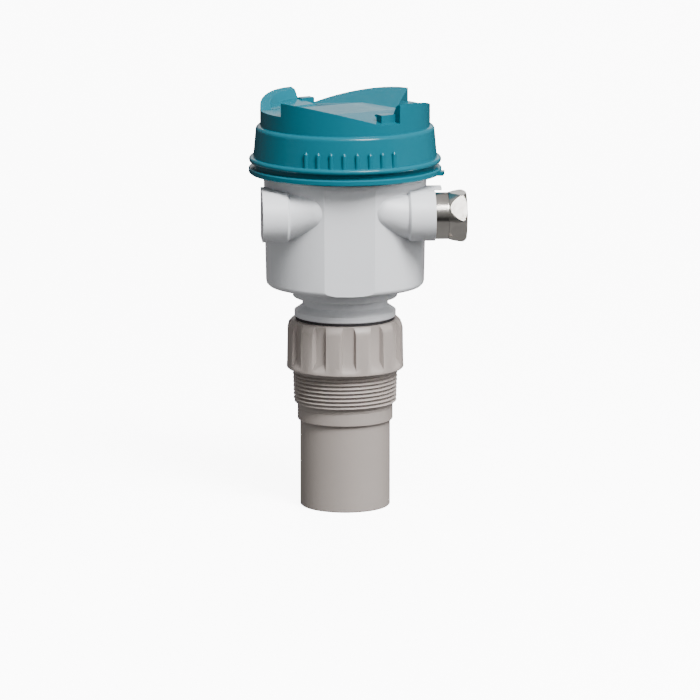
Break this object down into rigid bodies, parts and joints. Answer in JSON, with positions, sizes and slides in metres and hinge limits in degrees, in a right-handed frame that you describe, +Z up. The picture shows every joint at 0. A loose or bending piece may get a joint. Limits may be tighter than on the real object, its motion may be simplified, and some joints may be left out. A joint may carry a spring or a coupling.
{
  "type": "ultrasonic level sensor",
  "caption": "Ultrasonic level sensor: sensor tube with taper pipe thread and grip collar, drum housing with cable bosses and a gland, and a screw lid over keys and display.",
  "frame": {"origin": "centre of the sensor face at the bottom of the tube", "axes": "+Z up along the sensor axis, -Y to the front flat of the drum, +X to the gland"},
  "size_m": [0.1215, 0.11, 0.2374],
  "materials": {
    "teal_plastic": "moulded, semi-gloss",
    "white_plastic": "moulded, satin",
    "beige_plastic": "moulded, satin",
    "black_rubber": "matt",
    "matching_resin": "cast",
    "piezo_ceramic": "ground",
    "potting_resin": "cast",
    "steel": "plain",
    "lead_sleeve": "extruded",
    "board": "solder mask",
    "transformer_core": "varnished",
    "component_sleeve": "shrink sleeve",
    "black_plastic": "moulded",
    "terminal_plastic": "moulded",
    "grey_plastic": "moulded, fine texture",
    "display_glass": "plain",
    "clear_window": "polished",
    "button_rubber": "matt",
    "ribbon": "plain",
    "nickel": "nickel plated, bright"
  },
  "bodies": {
    "base": {"housing": "white_plastic", "neck_seal": "black_rubber", "sensor_body": "beige_plastic", "matching_layer": "matching_resin", "piezo_disc": "piezo_ceramic", "damping_block": "black_rubber", "potting": "potting_resin", "temperature_probe": "steel", "sensor_leads": "lead_sleeve", "main_board": "board", "transformer": "transformer_core", "capacitors": "component_sleeve", "processor_chip": "black_plastic", "terminal_block": "terminal_plastic", "terminal_screws": "steel", "electronics_case": "grey_plastic", "display_board": "board", "display_panel": "display_glass", "display_window": "clear_window", "button_switches": "black_plastic", "board_ribbon": "ribbon", "case_screws": "steel", "board_screws": "steel", "gland_body": "nickel", "gland_o_ring": "black_rubber", "gland_seal": "black_rubber"},
    "lid_piece": {"lid": "teal_plastic"},
    "lid_gasket_piece": {"lid_gasket": "black_rubber"},
    "gland_nut_piece": {"gland_nut": "nickel"},
    "gland_washer_piece": {"gland_washer": "nickel"},
    "menu_button_piece": {"menu_button": "button_rubber"},
    "down_button_piece": {"down_button": "button_rubber"},
    "up_button_piece": {"up_button": "button_rubber"},
    "enter_button_piece": {"enter_button": "button_rubber"}
  },
  "joints": [
    {"name": "lid_lift", "type": "slide", "parent": "base", "child": "lid_gasket_piece", "axis": [0, 0, 1], "range_m": [0, 0.016]},
    {"name": "lid_turn", "type": "hinge", "parent": "lid_gasket_piece", "child": "lid_piece", "pos_m": [0, 0, 0.2], "axis": [0, 0, 1], "range_deg": [0, 1440]},
    {"name": "gland_draw", "type": "slide", "parent": "base", "child": "gland_washer_piece", "axis": [1, 0, 0], "range_m": [0, 0.0045]},
    {"name": "gland_turn", "type": "hinge", "parent": "gland_washer_piece", "child": "gland_nut_piece", "pos_m": [0.06, -0.0315, 0.1729], "axis": [1, 0, 0], "range_deg": [0, 1080]},
    {"name": "menu_button_press", "type": "slide", "parent": "base", "child": "menu_button_piece", "axis": [0, 0, -1], "range_m": [0, 0.0008], "stiffness_N_per_m": 300},
    {"name": "down_button_press", "type": "slide", "parent": "base", "child": "down_button_piece", "axis": [0, 0, -1], "range_m": [0, 0.0008], "stiffness_N_per_m": 300},
    {"name": "up_button_press", "type": "slide", "parent": "base", "child": "up_button_piece", "axis": [0, 0, -1], "range_m": [0, 0.0008], "stiffness_N_per_m": 300},
    {"name": "enter_button_press", "type": "slide", "parent": "base", "child": "enter_button_piece", "axis": [0, 0, -1], "range_m": [0, 0.0008], "stiffness_N_per_m": 300}
  ],
  "couplings": [
    {"joint": "lid_lift", "follows": "lid_turn", "m_per_rad": 0.00063662},
    {"joint": "gland_draw", "follows": "gland_turn", "m_per_rad": 0.00023873}
  ]
}
